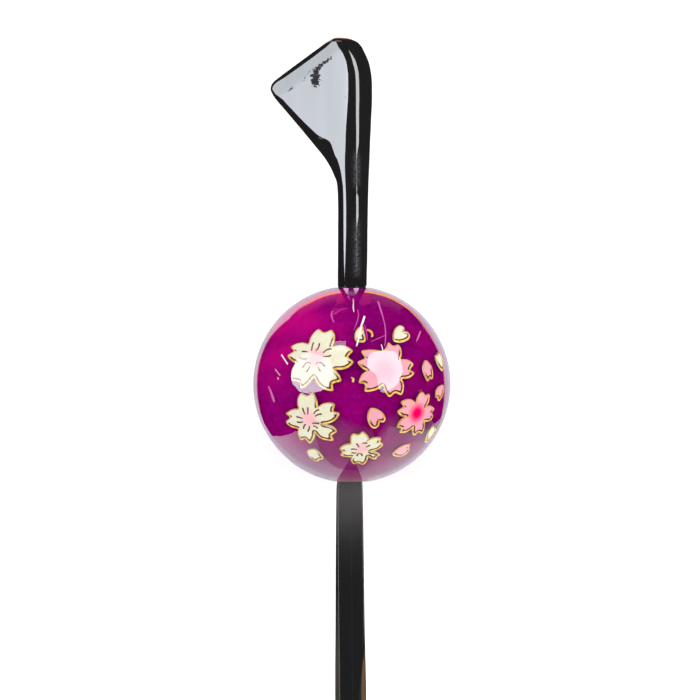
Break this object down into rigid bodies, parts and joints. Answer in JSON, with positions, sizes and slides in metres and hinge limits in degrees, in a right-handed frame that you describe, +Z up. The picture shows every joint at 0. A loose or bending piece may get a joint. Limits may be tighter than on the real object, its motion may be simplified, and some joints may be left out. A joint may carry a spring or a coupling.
{
  "type": "kanzashi hair stick",
  "caption": "Kanzashi: a black hair stick with a tapered leg and a flat bladed head, through a purple ball with a thin clear skin and raised blossoms.",
  "frame": {"origin": "on the surface that it lies on, under the middle of its bounding box", "axes": "+Y along the stick to the head, +Z up, the head's blade to -X"},
  "size_m": [0.02, 0.1696, 0.0201],
  "materials": {
    "black_plastic": "glossy black moulding with soft edges",
    "clear_acrylic": "thin clear polished acrylic",
    "purple_core": "deep magenta purple, streaked, under the clear skin",
    "cream_print": "cream print with gold outlines",
    "pink_print": "pink print with gold outlines"
  },
  "bodies": {
    "root": {"hair_stick": "black_plastic", "bead_shell": "clear_acrylic", "bead_core": "purple_core", "cream_blossoms": "cream_print", "pink_blossoms": "pink_print"}
  },
  "joints": []
}
